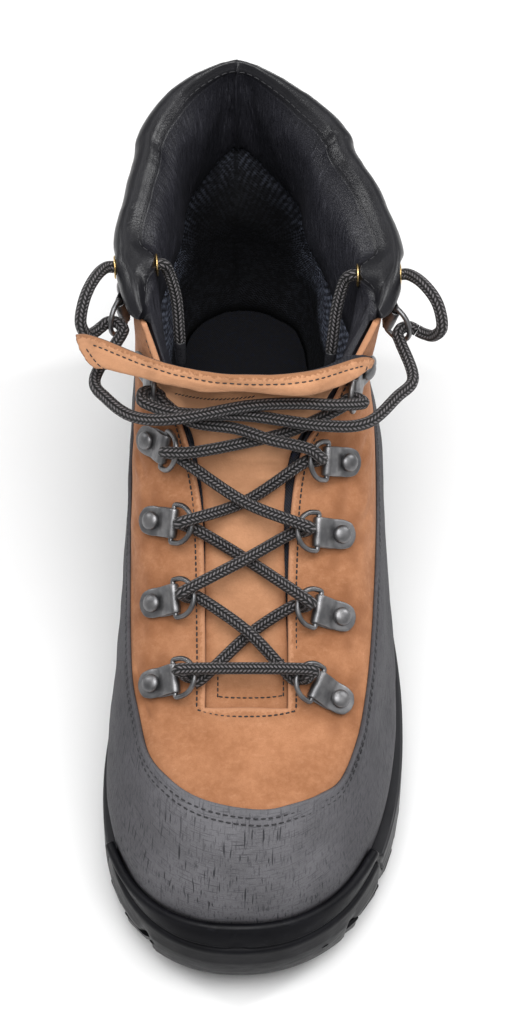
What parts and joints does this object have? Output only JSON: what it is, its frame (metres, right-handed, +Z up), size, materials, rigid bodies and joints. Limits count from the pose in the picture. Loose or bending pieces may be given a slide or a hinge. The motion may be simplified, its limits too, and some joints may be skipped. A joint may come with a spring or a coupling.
{
  "type": "trekking boot",
  "caption": "Left trekking boot with nubuck upper, textured toe cap and rand, padded collar, D-ring lacing and a lugged rubber sole, standing empty.",
  "frame": {"origin": "on the floor under the middle of the heel", "axes": "+Z up, toe towards -Y, +X towards the outer (little toe) side"},
  "size_m": [0.1334, 0.3079, 0.1832],
  "materials": {
    "tan_nubuck": "matt brushed nubuck",
    "grey_leather": "matt, fine cross-hatched embossing",
    "black_leather": "soft leather with a low sheen",
    "black_rubber": "matt",
    "black_foam": "matt, firm moulded foam",
    "footbed_textile": "matt knit",
    "gunmetal": "dark brushed metal",
    "brass": "aged",
    "black_braid": "round braided cord"
  },
  "bodies": {
    "root": {"upper": "tan_nubuck", "toe_cap_rand": "grey_leather", "collar": "black_leather", "tongue": "tan_nubuck", "gusset_medial": "black_leather", "gusset_lateral": "black_leather", "outsole": "black_rubber", "midsole": "black_foam", "insole": "footbed_textile", "lacing": "black_braid", "lace_loop_medial": "black_braid", "lace_loop_lateral": "black_braid", "eyelet_medial": "brass", "eyelet_lateral": "brass", "ring_clip_medial_1": "gunmetal", "d_ring_medial_1": "gunmetal", "rivet_medial_1": "gunmetal", "ring_clip_medial_2": "gunmetal", "d_ring_medial_2": "gunmetal", "rivet_medial_2": "gunmetal", "ring_clip_medial_3": "gunmetal", "d_ring_medial_3": "gunmetal", "rivet_medial_3": "gunmetal", "ring_clip_medial_4": "gunmetal", "d_ring_medial_4": "gunmetal", "rivet_medial_4": "gunmetal", "ring_clip_medial_5": "gunmetal", "d_ring_medial_5": "gunmetal", "rivet_medial_5": "gunmetal", "ring_clip_medial_6": "gunmetal", "d_ring_medial_6": "gunmetal", "rivet_medial_6": "gunmetal", "ring_clip_lateral_1": "gunmetal", "d_ring_lateral_1": "gunmetal", "rivet_lateral_1": "gunmetal", "ring_clip_lateral_2": "gunmetal", "d_ring_lateral_2": "gunmetal", "rivet_lateral_2": "gunmetal", "ring_clip_lateral_3": "gunmetal", "d_ring_lateral_3": "gunmetal", "rivet_lateral_3": "gunmetal", "ring_clip_lateral_4": "gunmetal", "d_ring_lateral_4": "gunmetal", "rivet_lateral_4": "gunmetal", "ring_clip_lateral_5": "gunmetal", "d_ring_lateral_5": "gunmetal", "rivet_lateral_5": "gunmetal", "ring_clip_lateral_6": "gunmetal", "d_ring_lateral_6": "gunmetal", "rivet_lateral_6": "gunmetal"}
  },
  "joints": []
}
